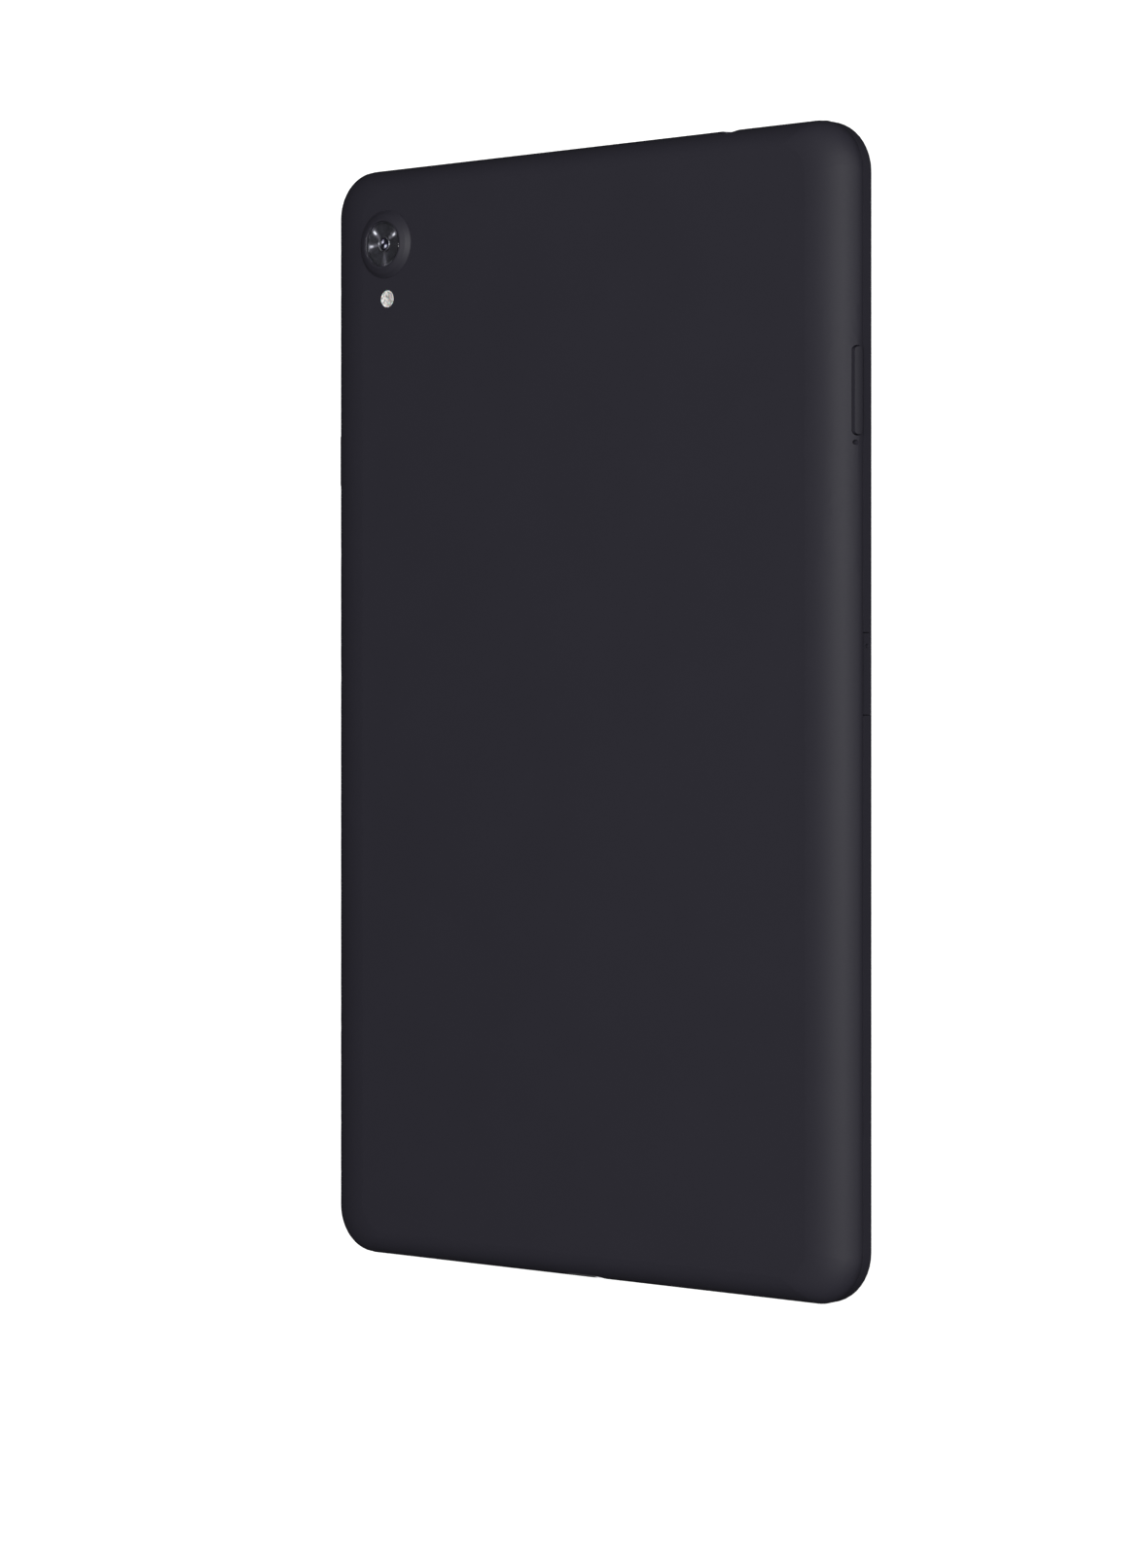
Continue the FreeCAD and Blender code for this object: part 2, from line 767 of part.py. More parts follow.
def battery():
    """The cell, its small board and lead, and the strips that glue it to the plate."""
    cell = plate("battery_cell")
    round_edges(cell, D["cell_round"], lambda edge: runs_along(edge, "z"))
    plate("battery_board")
    plate("battery_lead")

    def strips(sketch):
        for offset in STRIP_OFFSETS:
            add_box(sketch, (offset, D["battery_cell_z"]), STRIP_SIZE)

    flat_piece("battery_adhesive", D["battery_cell_far"], D["plate_near"], strips)


def main_board():
    """The board: a band across the top with a strip down the right side, cleared for its neighbours."""
    jack_half = D["jack_width"] / 2 + D["board_clearance"]
    jack_left, jack_right = D["jack_x"] - jack_half, D["jack_x"] + jack_half
    jack_foot = D["jack_back"] - D["board_clearance"]
    left, right, top, foot = -D["board_side"], D["board_side"], D["board_top"], D["board_foot"]
    camera_side, camera_foot = D["board_camera_side"], D["board_camera_foot"]
    band_foot, strip_left = D["board_band_foot"], D["board_strip_left"]
    outline = [
        (strip_left, foot),
        (right, foot),
        (right, top),
        (jack_right, top),
        (jack_right, jack_foot),
        (jack_left, jack_foot),
        (jack_left, top),
        (camera_side, top),
        (camera_side, camera_foot),
        (left, camera_foot),
        (left, band_foot),
        (strip_left, band_foot),
    ]

    def shape(sketch):
        add_polygon(sketch, outline)
        for place in BOARD_SCREWS:
            add_circle(sketch, place, D["board_hole_radius"])

    flat_piece("main_board", D["board_near"], D["board_far"], shape)


def board_pieces():
    """The chips, their metal covers and what carries the heat away."""
    for label in ("processor_chip", "memory_chip", "storage_chip", "power_chip", "radio_chip"):
        plate(label)
    for label in ("processor_shield", "radio_shield"):
        can = plate(label)
        wall = D["shield_wall"]
        inside = (D[f"{label}_width"] - 2 * wall, D[f"{label}_height"] - 2 * wall)
        centre = (D[f"{label}_x"], D[f"{label}_z"])
        cut_from_depth(
            can,
            D[f"{label}_near"] + wall,
            D[f"{label}_far"] + D["cut_clear"],
            lambda sketch, at=centre, size=inside: add_box(sketch, at, size),
        )
    plate("thermal_pad")
    plate("heat_spreader")

    def connectors(sketch):
        for x, z, width, height in BOARD_CONNECTORS:
            add_box(sketch, (x, z), (width, height))

    flat_piece("board_connectors", as_size(CONNECTOR_NEAR), D["board_near"], connectors)


def board_fasteners():
    """The screws through the main board and the tubes they enter, fixed to the plate."""
    screws = new_body("board_screws")
    sizes = (
        (D["screw_head_near"], D["board_near"], D["screw_head_radius"]),
        (D["board_near"] - D["join"], D["screw_end"], D["screw_radius"]),
    )
    for near, far, radius in sizes:
        sketch, length = slab(screws, near, far)
        for place in BOARD_SCREWS:
            add_circle(sketch, place, radius)
        pad(screws, sketch, length, reverse=True)

    def tubes(sketch):
        for place in BOARD_SCREWS:
            add_circle(sketch, place, D["standoff_radius"])
            add_circle(sketch, place, D["standoff_bore"])

    flat_piece("board_standoffs", D["board_far"], D["plate_near"], tubes)


def board_link_flex():
    """The long flexible circuit over the battery, from the lower board to the main one."""
    body = new_body("board_link_flex")
    skin = D["flex_thickness"]
    low_board, main, over = D["link_low_board"], D["link_main_board"], D["link_over_cell"]
    start, rise, fall, end = (D[f"link_{name}"] for name in ("start", "rise", "fall", "end"))
    outline = [
        (low_board + skin, start),
        (low_board + skin, rise + skin),
        (over + skin, rise + skin),
        (over + skin, fall - skin),
        (main + skin, fall - skin),
        (main + skin, end),
        (main, end),
        (main, fall),
        (over, fall),
        (over, rise),
        (low_board, rise),
        (low_board, start),
    ]
    sketch = facing_side(body, D["link_side"])
    add_polygon(sketch, [(at_depth(depth), height) for depth, height in outline])
    pad(body, sketch, D["link_width"])


# ---- the sockets -------------------------------------------------------------------------------


def usb_socket():
    """The charging socket: a drawn metal shell, the tongue inside it, and the board that holds it."""
    centre = (0, at_depth(D["port_depth"]))
    shell = new_body("usb_shell")
    sketch = facing_end(shell, D["usb_mouth"])
    outer = (D["usb_width"], D["usb_thickness"])
    add_round_box(sketch, centre, outer, outer[1] / 2 - ARC_SPARE)
    pad(shell, sketch, D["usb_length"])
    sketch = facing_end(shell, D["usb_mouth"])
    inner = (D["usb_width"] - 2 * D["usb_wall"], D["usb_thickness"] - 2 * D["usb_wall"])
    add_round_box(sketch, centre, inner, inner[1] / 2 - ARC_SPARE)
    pocket(shell, sketch, D["usb_length"] - D["usb_floor"], reverse=True)

    tongue = new_body("usb_tongue")
    end = D["usb_mouth"] + D["usb_length"] - D["usb_floor"]
    sketch = facing_end(tongue, end - D["tongue_plate_length"])
    add_box(sketch, centre, (D["tongue_plate_width"], D["tongue_plate_thickness"]))
    pad(tongue, sketch, D["tongue_plate_length"])

    notch = D["usb_width"] / 2 + D["board_clearance"]
    notch_top = D["usb_mouth"] + D["usb_length"] + D["board_clearance"]
    side, foot, top = D["usb_board_side"], D["usb_board_foot"], D["usb_board_top"]
    outline = [
        (-side, foot),
        (-notch, foot),
        (-notch, notch_top),
        (notch, notch_top),
        (notch, foot),
        (side, foot),
        (side, top),
        (-side, top),
    ]
    near, far = D["usb_board_near"], D["usb_board_far"]
    flat_piece("usb_board", near, far, lambda sketch: add_polygon(sketch, outline))


def headphone_jack():
    """The round socket's block and its nose in the cover, with a blind bore, and the contacts beside it."""
    body = new_body("headphone_jack")
    centre = (D["jack_x"], at_depth(D["port_depth"]))
    sketch = facing_end(body, D["jack_back"])
    add_box(sketch, centre, (D["jack_width"], 2 * D["jack_half_depth"]))
    pad(body, sketch, D["jack_front"] - D["jack_back"])
    sketch = facing_end(body, D["jack_back"])
    add_circle(sketch, centre, D["jack_nose"])
    pad(body, sketch, D["jack_mouth"] - D["jack_back"])
    sketch = facing_end(body, D["jack_floor"])
    add_circle(sketch, centre, D["jack_bore"])
    pocket(body, sketch, D["jack_mouth"] - D["jack_floor"], reverse=True)

    def contacts(sketch):
        for side in (-1, 1):
            across = D["jack_x"] + side * (D["jack_width"] + D["contact_width"]) / 2
            for height in CONTACT_HEIGHTS:
                add_box(sketch, (across, height), (D["contact_width"], D["contact_height"]))

    near = D["board_near"] - D["contact_thickness"]
    flat_piece("jack_contacts", near, D["board_near"], contacts)


# ---- the cameras and the flash -----------------------------------------------------------------


def camera_ring():
    """The raised round surround, sloping from the back up to the window, with a foot in the cover."""
    height = -D["ring_height"]
    low, middle, shoulder = (height * rise for rise in RING_RISES)
    profile = [
        (D["ring_bore"], D["ring_foot_depth"]),
        (D["ring_foot"], D["ring_foot_depth"]),
        (D["ring_foot"], 0),
        (D["ring_radius"], 0),
        (D["ring_radius"] - D["fit_gap"], low),
        ((D["ring_radius"] + D["ring_top_radius"]) / 2, middle),
        (D["ring_top_radius"], shoulder),
        (D["ring_top_radius"] - 2 * D["fit_gap"], height),
        (D["ring_seat"], height),
        (D["ring_seat"], D["window_far"]),
        (D["ring_bore"], D["window_far"]),
    ]
    turned("camera_ring", (D["camera_x"], D["camera_z"]), profile)


def rear_camera():
    """The camera behind the back: window, dark hood, lens and module."""
    centre = (D["camera_x"], D["camera_z"])
    near, far, radius = D["window_near"], D["window_far"], D["window_radius"]
    bevel = D["window_bevel"]
    window = [(0, near), (radius - bevel, near), (radius, near + bevel), (radius, far), (0, far)]
    turned("camera_window", centre, window)
    outer = D["ring_bore"] - D["fit_gap"]
    hood = [
        (outer, far),
        (outer, D["hood_far"]),
        (D["hood_bore"], D["hood_far"]),
        (D["hood_bore"], D["hood_far"] - D["hood_lip"]),
        (outer - D["hood_rim"], far),
    ]
    turned("camera_hood", centre, hood)
    lens = [(0, D["lens_near"]), (D["lens_radius"], D["lens_near"] + D["lens_edge"])]
    lens += [(D["lens_radius"], D["lens_far"]), (0, D["lens_far"])]
    turned("rear_camera_lens", centre, lens)

    module = plate("rear_camera")
    sketch, length = slab(module, D["barrel_near"], D["rear_camera_near"] + D["join"])
    add_circle(sketch, centre, D["barrel_radius"])
    pad(module, sketch, length, reverse=True)
    cut_from_depth(
        module,
        -D["cut_clear"],
        D["lens_far"],
        lambda sketch: add_circle(sketch, centre, D["lens_radius"] + D["fit_gap"]),
    )


def flash():
    """The light source and the clear window in front of it."""
    plate("flash_led")
    radius, far = D["flash_radius"], D["flash_window_far"]
    window = [(0, 0), (radius, 0), (radius, far), (0, far)]
    turned("flash_window", (D["flash_x"], D["flash_z"]), window)


def front_camera():
    """The small camera behind the front glass, above the display."""
    body = plate("front_camera")
    sketch, length = slab(body, D["front_camera_far"] - D["join"], D["front_barrel_far"])
    add_circle(sketch, (D["front_camera_x"], D["front_camera_z"]), D["front_barrel_radius"])
    pad(body, sketch, length, reverse=True)


# ---- sound and antennas ------------------------------------------------------------------------


def speakers():
    """The two sound boxes at the lower end and the fine meshes in front of them."""
    plate("left_speaker")
    plate("right_speaker")

    def meshes(sketch):
        for label in ("left_speaker", "right_speaker"):
            foot = D[f"{label}_z"] - D[f"{label}_height"] / 2
            centre = (D[f"{label}_x"], foot - D["mesh_gap"])
            add_box(sketch, centre, (D["mesh_width"], D["mesh_thickness"]))

    flat_piece("speaker_meshes", D["mesh_near"], D["mesh_far"], meshes)


def antenna_cable():
    """The thin coaxial lead down the left side."""
    body = new_body("antenna_cable")
    sketch = facing_end(body, D["cable_bottom"])
    add_circle(sketch, (D["cable_x"], at_depth(D["cable_depth"])), D["cable_radius"])
    pad(body, sketch, D["cable_top"] - D["cable_bottom"])


# ---- the keys ----------------------------------------------------------------------------------


def cover_side(depth, outward):
    """A point on the cover's curved side at a depth, moved outward, for the right side."""
    rise = (D["cover_edge"] - depth) / D["cover_edge"]
    across = Size(1 - math.sqrt(1 - rise.number**2), f"(1 - sqrt(1 - {rise.text}^2))")
    return HALF_WIDTH - D["side_curve"] * across + outward, at_depth(depth)


def key(label, side, height, length, near, proud, posts):
    """A key that follows the curved side, standing a little proud, with posts that reach its switches."""
    body = new_body(label)
    far = D["key_far"]
    low = cover_side(near, proud)
    middle = cover_side((near + far) / 2, proud)
    high = cover_side(far, proud)
    outer = [(side * point[0], point[1]) for point in (low, middle, high)]
    inner = side * D["key_inner"]

    sketch = facing_end(body, height - length / 2)
    turning_left = outer if side > 0 else outer[::-1]
    arc = sketch.addGeometry(Part.Arc(*(vector(point) for point in turning_left)))
    pin_point(sketch, arc, 1, turning_left[0])
    pin_point(sketch, arc, 2, turning_left[2])
    crown = sketch.addGeometry(Part.Point(vector(outer[1])), True)
    pin_point(sketch, crown, 1, outer[1])
    sketch.addConstraint(Sketcher.Constraint("PointOnObject", crown, 1, arc))
    add_line(sketch, outer[2], (inner, outer[2][1]))
    add_line(sketch, (inner, outer[2][1]), (inner, outer[0][1]))
    add_line(sketch, (inner, outer[0][1]), outer[0])
    pad(body, sketch, length)
    round_edges(body, key_corner(near), lambda edge: runs_along(edge, "x"))

    sketch = facing_side(body, side * D["post_inner"])
    middle_y = at_depth((near + far) / 2)
    for offset in posts:
        add_circle(sketch, (middle_y, height + offset), D["post_radius"])
    pad(body, sketch, D["key_inner"] - D["post_inner"] + D["join"], reverse=side < 0)


def key_switches(label, side, height, length, posts):
    """The flexible strip behind a key, with a metal dome under each post."""
    body = new_body(label)
    inner, outer = D["switch_inner"], D["dome_inner"]
    sketch = facing_side(body, side * inner)
    middle_y = at_depth((D["switch_near"] + D["switch_far"]) / 2)
    strip = (D["switch_far"] - D["switch_near"], length - D["switch_spare"])
    add_box(sketch, (middle_y, height), strip)
    pad(body, sketch, outer - inner, reverse=side < 0)
    sketch = facing_side(body, side * (outer - D["join"]))
    for offset in posts:
        add_circle(sketch, (middle_y, height + offset), D["dome_radius"])
    pad(body, sketch, D["dome_outer"] - outer + D["join"], reverse=side < 0)


def key_bracket(label, side, height, length):
    """The small metal plate that backs a key's switches."""
    body = new_body(label)
    sketch = facing_side(body, side * D["bracket_inner"])
    middle_y = at_depth((D["bracket_near"] + D["bracket_far"]) / 2)
    add_box(sketch, (middle_y, height), (D["bracket_far"] - D["bracket_near"], length))
    pad(body, sketch, D["switch_inner"] - D["bracket_inner"], reverse=side < 0)


def keys():
    """The volume rocker on the right side and the power key on the left, each with its switches."""
    rocker = (D["post_offset"], -D["post_offset"])
    single = (as_size(0),)
    near, proud = D["volume_near"], D["volume_proud"]
    key("volume_key", 1, D["volume_z"], D["volume_length"], near, proud, rocker)
    key_switches("volume_switches", 1, D["volume_z"], D["volume_length"], rocker)
    key_bracket("volume_bracket", 1, D["volume_z"], D["volume_length"])
    near, proud = D["power_near"], D["power_proud"]
    key("power_key", -1, D["power_z"], D["power_length"], near, proud, single)
    key_switches("power_switch", -1, D["power_z"], D["power_length"], single)
    key_bracket("power_bracket", -1, D["power_z"], D["power_length"])


# ---- the card tray -----------------------------------------------------------------------------


def card_tray():
    """The tray: a door flush with the side and a thin open frame that carries a card."""
    body = new_body("card_tray")
    height = D["tray_z"]
    plate_length = D["tray_door_inner"] - D["tray_end"] + D["join"]
    plate_middle = D["tray_end"] + plate_length / 2
    sketch, length = slab(body, D["tray_near"], D["tray_far"])
    add_box(sketch, (plate_middle, height), (plate_length, D["tray_width"]))
    pad(body, sketch, length, reverse=True)
    sketch, length = slab(body, D["tray_near"], D["tray_door_far"])
    door = D["tray_door_outer"] - D["tray_door_inner"]
    door_middle = D["tray_door_inner"] + door / 2
    add_box(sketch, (door_middle, height), (door, D["tray_door_length"]))
    pad(body, sketch, length, reverse=True)
    opening = (plate_length - D["tray_bars"], D["tray_width"] - 2 * D["tray_rail"])
    opening_middle = plate_middle - D["tray_opening_shift"]
    cut_from_depth(
        body,
        D["front_hole_near"],
        D["tray_far"],
        lambda sketch: add_box(sketch, (opening_middle, height), opening),
    )
    sketch = facing_side(body, OUTSIDE)
    middle = at_depth((D["tray_far"] + D["tray_door_far"]) / 2 - D["tray_hole_rise"])
    hole_height = height + D["tray_door_length"] / 2 - D["tray_hole_inset"]
    add_circle(sketch, (middle, hole_height), D["tray_hole_radius"])
    pocket(body, sketch, D["tray_hole_length"])


# ---- everything together -----------------------------------------------------------------------


def build():
    """Makes every sub-part in the document."""
    rear_cover()
    front_frame()
    display()
    battery()
    main_board()
    board_pieces()
    board_fasteners()
    board_link_flex()
    usb_socket()
    headphone_jack()
    camera_ring()
    rear_camera()
    flash()
    front_camera()
    speakers()
    plate("bottom_microphone")
    plate("side_microphone")
    plate("card_socket")
    plate("upper_antenna")
    plate("lower_antenna")
    antenna_cable()
    keys()
    card_tray()
    doc.recompute()


def check_and_write():
    """Stops on any failed object or bad shape, then writes one STEP file for each sub-part."""
    for item in doc.Objects:
        if {"Invalid", "Error"} & set(item.State):
            raise RuntimeError(f"{item.Name} failed: {item.State}")
    bodies = [item for item in doc.Objects if item.TypeId == "PartDesign::Body"]
    for body in bodies:
        if body.Shape.isNull() or not body.Shape.isValid():
            raise RuntimeError(f"{body.Label} has no valid shape")
    os.makedirs(PARTS_FOLDER, exist_ok=True)
    for body in bodies:
        body.Shape.exportStep(os.path.join(PARTS_FOLDER, f"{body.Label}.step"))
        solids = len(body.Shape.Solids)
        print(f"{body.Label}: {solids} solid(s), {body.Shape.Volume:.2f} mm3")
    print(f"{len(bodies)} sub-parts written")


build()
check_and_write()
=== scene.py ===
import bpy
import itertools
import math
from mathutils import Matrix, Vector

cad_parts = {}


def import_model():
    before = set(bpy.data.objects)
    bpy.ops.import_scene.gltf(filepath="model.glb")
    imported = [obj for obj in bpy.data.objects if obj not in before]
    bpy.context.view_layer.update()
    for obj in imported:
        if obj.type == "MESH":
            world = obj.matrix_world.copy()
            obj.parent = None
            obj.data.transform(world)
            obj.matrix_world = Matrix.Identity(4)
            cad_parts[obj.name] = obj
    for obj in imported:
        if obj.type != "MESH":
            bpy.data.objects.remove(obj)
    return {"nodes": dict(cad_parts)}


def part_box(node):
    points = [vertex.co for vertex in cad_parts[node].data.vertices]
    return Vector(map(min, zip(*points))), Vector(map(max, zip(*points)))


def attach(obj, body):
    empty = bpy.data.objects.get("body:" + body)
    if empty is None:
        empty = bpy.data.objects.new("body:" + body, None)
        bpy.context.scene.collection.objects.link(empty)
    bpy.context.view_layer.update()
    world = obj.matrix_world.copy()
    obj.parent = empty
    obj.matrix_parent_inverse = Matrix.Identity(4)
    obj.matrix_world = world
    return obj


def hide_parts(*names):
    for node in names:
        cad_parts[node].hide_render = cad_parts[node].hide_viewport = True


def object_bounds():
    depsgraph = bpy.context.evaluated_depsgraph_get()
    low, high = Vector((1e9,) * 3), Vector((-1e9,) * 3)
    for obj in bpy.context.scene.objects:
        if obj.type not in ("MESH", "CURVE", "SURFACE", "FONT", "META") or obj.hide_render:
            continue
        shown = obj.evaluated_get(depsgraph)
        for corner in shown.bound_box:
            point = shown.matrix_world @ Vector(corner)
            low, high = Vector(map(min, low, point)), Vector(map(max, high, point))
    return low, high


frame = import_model()
CAD_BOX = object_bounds()

# The looks of a tablet computer that lies on its screen. Lengths are in metres, in the frame of the packed
# model: X to the right seen from the back, Y towards the camera end, Z up out of the back.

MM = 0.001
ROUND_STEPS = 128
ROOT = "casing"

NODES = frame["nodes"]

# The lit screen ends this far inside the display cell, across and along.
SCREEN_BORDER = (1.9 * MM, 2.85 * MM)
FRONT_EYE_RADIUS = 1.75 * MM
FRONT_EYE_RIM = 0.18 * MM

# The cone under the camera window, and the lens in it. The bright sectors and spots on both are painted
# highlights in their colour, at fixed angles.
CONE_RIM = 0.25 * MM
CONE_GAP = 0.1 * MM
CONE_TOP = 0.02 * MM
CONE_FOOT = 0.13 * MM
RIDGES = 14
RIDGE_CREST = 0.75
RIDGE_LIFT = 0.008 * MM
CONE_PAINTED_SHEEN_SECTORS = ((33, 0.9), (134, 1.0), (185, 0.9), (275, 0.6))
CONE_PAINTED_GLINTS = ((31, 0.8), (134, 1.0), (185, 0.7))
CONE_PAINTED_GLINT_RADIUS = 3.05 * MM
CONE_PAINTED_GLINT_WIDTH = 0.55 * MM
LENS_STEPS = 10
LENS_PAINTED_GLINT_RADIUS = 0.55 * MM
LENS_PAINTED_GLINT_WIDTH = 0.3 * MM
LENS_RING_WIDTH = 0.2 * MM
LENS_RING_OVERHANG = 0.02 * MM
LENS_RING_RISE = 0.06 * MM
LENS_RING_BEVEL = (0.05 * MM, 0.04 * MM)

# The stepped rings on the flash window, and the contacts on the charging socket's tongue.
FLASH_RINGS = 7
FLASH_RINGS_SHARE = 0.86
FLASH_RIM_SHARE = 0.9
CONTACT_COUNT = 12
CONTACT_PITCH = 0.5 * MM
CONTACT_WIDTH = 0.25 * MM
CONTACT_RISE = 0.03 * MM
CONTACT_SPAN = (0.3 * MM, 4.2 * MM)
BEVEL_WIDTH = 0.03 * MM


# ---- node helpers --------------------------------------------------------------------------------


def new_material(name):
    """A material with its node tree and its principled shader."""
    material = bpy.data.materials.new(name)
    material.use_nodes = True
    return material, material.node_tree, material.node_tree.nodes["Principled BSDF"]


def add_node(tree, kind, **values):
    """A node whose named inputs hold the given values."""
    node = tree.nodes.new(kind)
    for key, value in values.items():
        node.inputs[key.replace("_", " ")].default_value = value
    return node


def set_inputs(shader, **values):
    """Sets the shader's own sockets."""
    for key, value in values.items():
        shader.inputs[key.replace("_", " ")].default_value = value


def object_place(tree, stretch=(1, 1, 1)):
    """The place on the object in metres, scaled along each axis."""
    place = tree.nodes.new("ShaderNodeTexCoord")
    scaled = add_node(tree, "ShaderNodeMapping", Scale=stretch)
    tree.links.new(place.outputs["Object"], scaled.inputs["Vector"])
    return scaled.outputs["Vector"]


def noise(tree, size, detail=2.0, stretch=(1, 1, 1)):
    """A noise whose blobs are about the given size, in metres."""
    node = add_node(tree, "ShaderNodeTexNoise", Scale=1 / size, Detail=detail)
    tree.links.new(object_place(tree, stretch), node.inputs["Vector"])
    return node.outputs["Fac"]


def spread(tree, factor, low, high, start=0.3, end=0.7):
    """Maps a factor to the range from low to high."""
    values = {"From Min": start, "From Max": end, "To Min": low, "To Max": high}
    node = tree.nodes.new("ShaderNodeMapRange")
    for key, value in values.items():
        node.inputs[key].default_value = value
    tree.links.new(factor, node.inputs["Value"])
    return node.outputs["Result"]


def blend_colours(tree, factor, first, second):
    """A colour that runs from the first to the second. Each is a colour or an output."""
    node = tree.nodes.new("ShaderNodeMix")
    node.data_type = "RGBA"
    tree.links.new(factor, node.inputs["Factor"])
    for key, colour in (("A", first), ("B", second)):
        socket = next(s for s in node.inputs if s.name == key and s.type == "RGBA")
        if isinstance(colour, (tuple, list)):
            socket.default_value = (*colour[:3], 1)
        else:
            tree.links.new(colour, socket)
    return next(s for s in node.outputs if s.type == "RGBA")


def arithmetic(tree, operation, first, second=0.0):
    """A maths node on outputs or plain numbers."""
    node = tree.nodes.new("ShaderNodeMath")
    node.operation = operation
    for socket, value in zip(node.inputs, (first, second)):
        if isinstance(value, (int, float)):
            socket.default_value = value
        else:
            tree.links.new(value, socket)
    return node.outputs["Value"]


def shade(colour, factor):
    """A colour made darker or lighter."""
    return tuple(channel * factor for channel in colour[:3])


def raise_bumps(tree, shader, heights):
    """Chains bumps: each entry is a height output, its depth in metres and its strength."""
    normal = None
    for height, depth, strength in heights:
        node = add_node(tree, "ShaderNodeBump", Strength=strength, Distance=depth)
        tree.links.new(height, node.inputs["Height"])
        if normal is not None:
            tree.links.new(normal, node.inputs["Normal"])
        normal = node.outputs["Normal"]
    tree.links.new(normal, shader.inputs["Normal"])


# ---- materials -----------------------------------------------------------------------------------


def moulded(name, colour, roughness, grain=0.16 * MM, depth=0.006 * MM, specular=0.5):
    """Matte moulded plastic: a fine etched grain with a soft, large mottle."""
    material, tree, shader = new_material(name)
    fine = noise(tree, grain, 3.0)
    broad = noise(tree, 14 * MM, 2.0)
    mottle = blend_colours(tree, spread(tree, broad, 0, 1), shade(colour, 0.96), shade(colour, 1.04))
    speckle = blend_colours(tree, spread(tree, fine, 0, 1), shade(colour, 0.9), mottle)
    tree.links.new(speckle, shader.inputs["Base Color"])
    rough = spread(tree, fine, roughness - 0.04, roughness + 0.04)
    tree.links.new(rough, shader.inputs["Roughness"])
    set_inputs(shader, Specular_IOR_Level=specular)
    raise_bumps(tree, shader, [(fine, depth, 0.6)])
    return material


def metal(name, colour, roughness, stretch=(1, 40, 1), size=2 * MM):
    """Metal with fine brushing along one axis and a faint tone change."""
    material, tree, shader = new_material(name)
    brushed = noise(tree, size, 4.0, stretch)
    broad = noise(tree, 9 * MM, 2.0)
    tone = blend_colours(tree, spread(tree, broad, 0, 1), shade(colour, 0.93), shade(colour, 1.05))
    tree.links.new(tone, shader.inputs["Base Color"])
    rough = spread(tree, brushed, roughness * 0.85, roughness * 1.2)
    tree.links.new(rough, shader.inputs["Roughness"])
    set_inputs(shader, Metallic=1.0)
    raise_bumps(tree, shader, [(brushed, 0.004 * MM, 0.3)])
    return material


def clear(name, tint, roughness=0.02, ior=1.5, smudge=0.03):
    """Clear glass or plastic with a faint smudge on its surface."""
    material, tree, shader = new_material(name)
    film = noise(tree, 3 * MM, 3.0)
    rough = spread(tree, film, roughness, roughness + smudge, 0.45, 0.8)
    tree.links.new(rough, shader.inputs["Roughness"])
    tone = blend_colours(tree, spread(tree, film, 0, 1), shade(tint, 0.98), tint)
    tree.links.new(tone, shader.inputs["Base Color"])
    set_inputs(shader, Transmission_Weight=1.0, IOR=ior)
    return material


def board_laminate(name):
    """Green solder mask with faint copper tracks under it and small bright pads."""
    material, tree, shader = new_material(name)
    tracks = add_node(tree, "ShaderNodeTexBrick", Scale=1 / (1.6 * MM))
    tracks.inputs["Mortar Size"].default_value = 0.03
    tree.links.new(object_place(tree, (1, 1, 1)), tracks.inputs["Vector"])
    pads = add_node(tree, "ShaderNodeTexVoronoi", Scale=1 / (2.2 * MM))
    tree.links.new(object_place(tree), pads.inputs["Vector"])
    near = arithmetic(tree, "LESS_THAN", pads.outputs["Distance"], 0.12)
    mask = blend_colours(tree, tracks.outputs["Fac"], (0.012, 0.07, 0.045), (0.02, 0.13, 0.08))
    tone = blend_colours(tree, near, mask, (0.6, 0.45, 0.2))
    tree.links.new(tone, shader.inputs["Base Color"])
    set_inputs(shader, Roughness=0.35)
    raise_bumps(tree, shader, [(tracks.outputs["Fac"], 0.02 * MM, 0.4)])
    return material


def flexible_film(name):
    """Amber film over copper lines that run along it."""
    material, tree, shader = new_material(name)
    lines = add_node(tree, "ShaderNodeTexWave", Scale=1 / (1.2 * MM), Distortion=0.0)
    tree.links.new(object_place(tree), lines.inputs["Vector"])
    tone = blend_colours(tree, lines.outputs["Fac"], (0.42, 0.16, 0.03), (0.62, 0.3, 0.08))
    tree.links.new(tone, shader.inputs["Base Color"])
    set_inputs(shader, Roughness=0.3)
    raise_bumps(tree, shader, [(lines.outputs["Fac"], 0.01 * MM, 0.3)])
    return material


def battery_foil(name):
    """A pouch's foil: a soft metallic sheen with shallow creases."""
    material, tree, shader = new_material(name)
    crease = noise(tree, 7 * MM, 5.0)
    tone = blend_colours(tree, spread(tree, crease, 0, 1), (0.36, 0.37, 0.39), (0.5, 0.51, 0.53))
    tree.links.new(tone, shader.inputs["Base Color"])
    set_inputs(shader, Metallic=0.8, Roughness=0.38)
    raise_bumps(tree, shader, [(crease, 0.12 * MM, 0.4)])
    return material


def woven_mesh(name):
    """A fine woven dust mesh."""
    material, tree, shader = new_material(name)
    holes = add_node(tree, "ShaderNodeTexVoronoi", Scale=1 / (0.3 * MM), Randomness=0.0)
    tree.links.new(object_place(tree), holes.inputs["Vector"])
    wires = spread(tree, holes.outputs["Distance"], 0, 1, 0.25, 0.4)
    tone = blend_colours(tree, wires, (0.004, 0.004, 0.004), (0.25, 0.25, 0.26))
    tree.links.new(tone, shader.inputs["Base Color"])
    set_inputs(shader, Metallic=0.7, Roughness=0.45)
    return material


